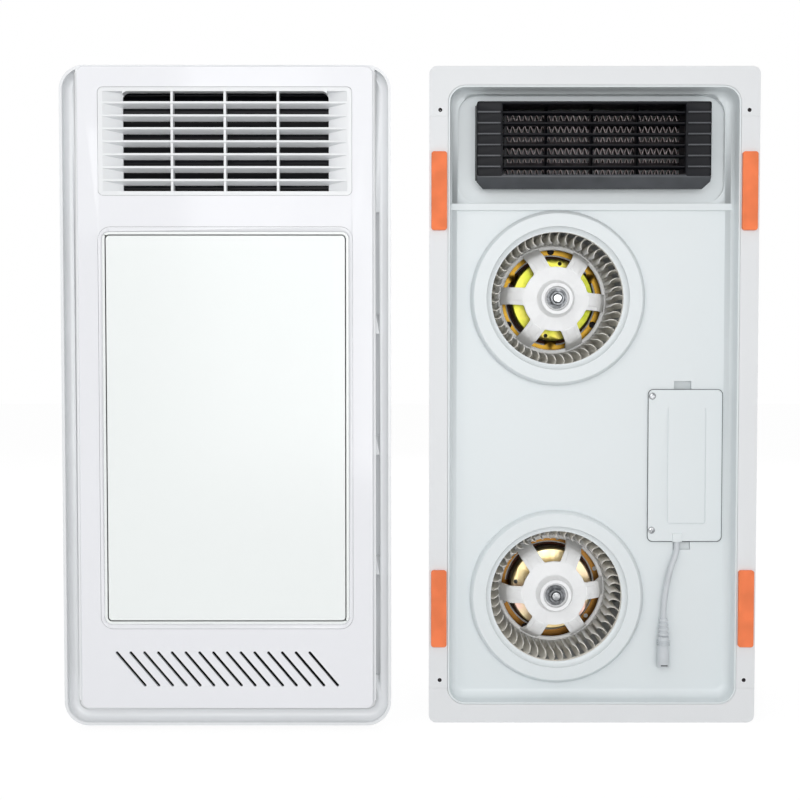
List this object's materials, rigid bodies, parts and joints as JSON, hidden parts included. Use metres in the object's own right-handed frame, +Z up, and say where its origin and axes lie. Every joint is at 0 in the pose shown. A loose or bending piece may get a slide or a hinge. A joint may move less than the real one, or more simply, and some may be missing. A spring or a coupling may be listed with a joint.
{
  "type": "bathroom ceiling heater",
  "caption": "White recessed bathroom ceiling heater and extractor: light panel off beside the chassis, fan wheels in raised inlets, louvred warm-air outlet, exhaust duct collar",
  "frame": {"origin": "middle of the ceiling opening on the rear face of the chassis flange", "axes": "+X to the right and +Z up as the unit stands facing the viewer, +Y into the ceiling void, which points up once it is fitted"},
  "size_m": [0.6353, 0.1763, 0.6],
  "materials": {
    "white_paint": "satin white powder coat on sheet steel",
    "zinc_steel": "zinc plated sheet and screws",
    "deck_plastic": "moulded cool white plastic, soft gloss",
    "orange_foam": "matte orange foam pad",
    "scroll_plastic": "plain moulded plastic",
    "gold_zinc_heating": "yellow-green passivated steel pressing",
    "gold_zinc_exhaust": "pinkish gold passivated steel pressing",
    "wheel_plastic": "moulded warm grey-white plastic",
    "bright_steel": "bright turned steel",
    "fin_aluminium": "thin folded strip",
    "black_plastic": "black heat-proof plastic",
    "cable_sheath": "pale grey cable sheath",
    "connector_plastic": "white moulded connector",
    "panel_plastic": "white moulded plastic",
    "panel_gloss": "glossy white face",
    "diffuser": "opal light diffuser with a faint mint tone",
    "filter_foam": "black open-cell foam",
    "light_board": "white circuit strip"
  },
  "bodies": {
    "chassis": {"cable_bush": "cable_sheath", "cable_relief": "connector_plastic", "cap_screws": "zinc_steel", "connector": "connector_plastic", "cushion_pads": "orange_foam", "deck_liner": "deck_plastic", "end_cap_bottom": "white_paint", "end_cap_top": "white_paint", "exhaust_collar": "black_plastic", "exhaust_motor": "zinc_steel", "exhaust_motor_bell": "gold_zinc_exhaust", "exhaust_scroll": "scroll_plastic", "exhaust_transition": "scroll_plastic", "flap_pin": "bright_steel", "hanging_lugs": "zinc_steel", "heater_bars": "fin_aluminium", "heater_fins": "fin_aluminium", "heater_frame": "black_plastic", "heating_motor": "zinc_steel", "heating_motor_bell": "gold_zinc_heating", "heating_scroll": "scroll_plastic", "hot_air_duct": "zinc_steel", "housing_wrap": "white_paint", "junction_lid": "deck_plastic", "junction_tray": "zinc_steel", "lid_screws": "zinc_steel", "light_cable": "cable_sheath", "light_driver": "scroll_plastic", "mains_gland": "black_plastic", "motor_screws": "gold_zinc_heating", "outlet_frame": "black_plastic", "run_capacitor": "black_plastic", "swing_motor": "black_plastic", "terminal_block": "scroll_plastic"},
    "heating_fan": {"heating_wheel": "wheel_plastic", "heating_spindle": "bright_steel", "heating_nut": "bright_steel"},
    "exhaust_fan": {"exhaust_wheel": "wheel_plastic", "exhaust_spindle": "bright_steel", "exhaust_nut": "bright_steel"},
    "blade_1": {"swing_blade_1": "black_plastic"},
    "blade_2": {"swing_blade_2": "black_plastic"},
    "blade_3": {"swing_blade_3": "black_plastic"},
    "blade_4": {"swing_blade_4": "black_plastic"},
    "blade_5": {"swing_blade_5": "black_plastic"},
    "blade_6": {"swing_blade_6": "black_plastic"},
    "link": {"link_bar": "black_plastic"},
    "flap": {"exhaust_flap": "black_plastic"},
    "panel": {"panel_frame": "panel_plastic", "keeper_plates": "zinc_steel", "face_plate": "panel_gloss", "outlet_grille": "panel_plastic", "air_guide": "black_plastic", "intake_filter": "filter_foam", "light_bezel": "panel_gloss", "light_diffuser": "diffuser", "light_tray": "zinc_steel", "panel_screws": "bright_steel", "light_strips": "light_board", "light_socket": "connector_plastic"}
  },
  "joints": [
    {"name": "heating_fan_spin", "type": "hinge", "parent": "chassis", "child": "heating_fan", "pos_m": [-0.031, 0.045, 0.091], "axis": [0, 1, 0], "continuous": true},
    {"name": "exhaust_fan_spin", "type": "hinge", "parent": "chassis", "child": "exhaust_fan", "pos_m": [-0.031, 0.045, -0.186], "axis": [0, 1, 0], "continuous": true},
    {"name": "exhaust_flap_swing", "type": "hinge", "parent": "chassis", "child": "flap", "pos_m": [0.15305, 0.113, -0.215], "axis": [0, 0, 1], "range_deg": [0, 75]},
    {"name": "panel_slide", "type": "slide", "parent": "chassis", "child": "panel", "axis": [1, 0, 0], "range_m": [0, 0.332]},
    {"name": "link_bar_slide", "type": "slide", "parent": "chassis", "child": "link", "axis": [0, 0, 1], "range_m": [-0.0027, 0.0027]},
    {"name": "swing_blade_1_turn", "type": "hinge", "parent": "chassis", "child": "blade_1", "pos_m": [0, 0.009, 0.25922], "axis": [1, 0, 0], "range_deg": [-30, 30]},
    {"name": "swing_blade_2_turn", "type": "hinge", "parent": "chassis", "child": "blade_2", "pos_m": [0, 0.009, 0.24938], "axis": [1, 0, 0], "range_deg": [-30, 30]},
    {"name": "swing_blade_3_turn", "type": "hinge", "parent": "chassis", "child": "blade_3", "pos_m": [0, 0.009, 0.23952], "axis": [1, 0, 0], "range_deg": [-30, 30]},
    {"name": "swing_blade_4_turn", "type": "hinge", "parent": "chassis", "child": "blade_4", "pos_m": [0, 0.009, 0.22967], "axis": [1, 0, 0], "range_deg": [-30, 30]},
    {"name": "swing_blade_5_turn", "type": "hinge", "parent": "chassis", "child": "blade_5", "pos_m": [0, 0.009, 0.21982], "axis": [1, 0, 0], "range_deg": [-30, 30]},
    {"name": "swing_blade_6_turn", "type": "hinge", "parent": "chassis", "child": "blade_6", "pos_m": [0, 0.009, 0.20997], "axis": [1, 0, 0], "range_deg": [-30, 30]}
  ],
  "couplings": [
    {"joint": "swing_blade_1_turn", "follows": "swing_blade_2_turn", "ratio": 1},
    {"joint": "swing_blade_3_turn", "follows": "swing_blade_2_turn", "ratio": 1},
    {"joint": "swing_blade_4_turn", "follows": "swing_blade_2_turn", "ratio": 1},
    {"joint": "swing_blade_5_turn", "follows": "swing_blade_2_turn", "ratio": 1},
    {"joint": "swing_blade_6_turn", "follows": "swing_blade_2_turn", "ratio": 1},
    {"joint": "link_bar_slide", "follows": "swing_blade_2_turn", "m_per_rad": 0.005}
  ]
}
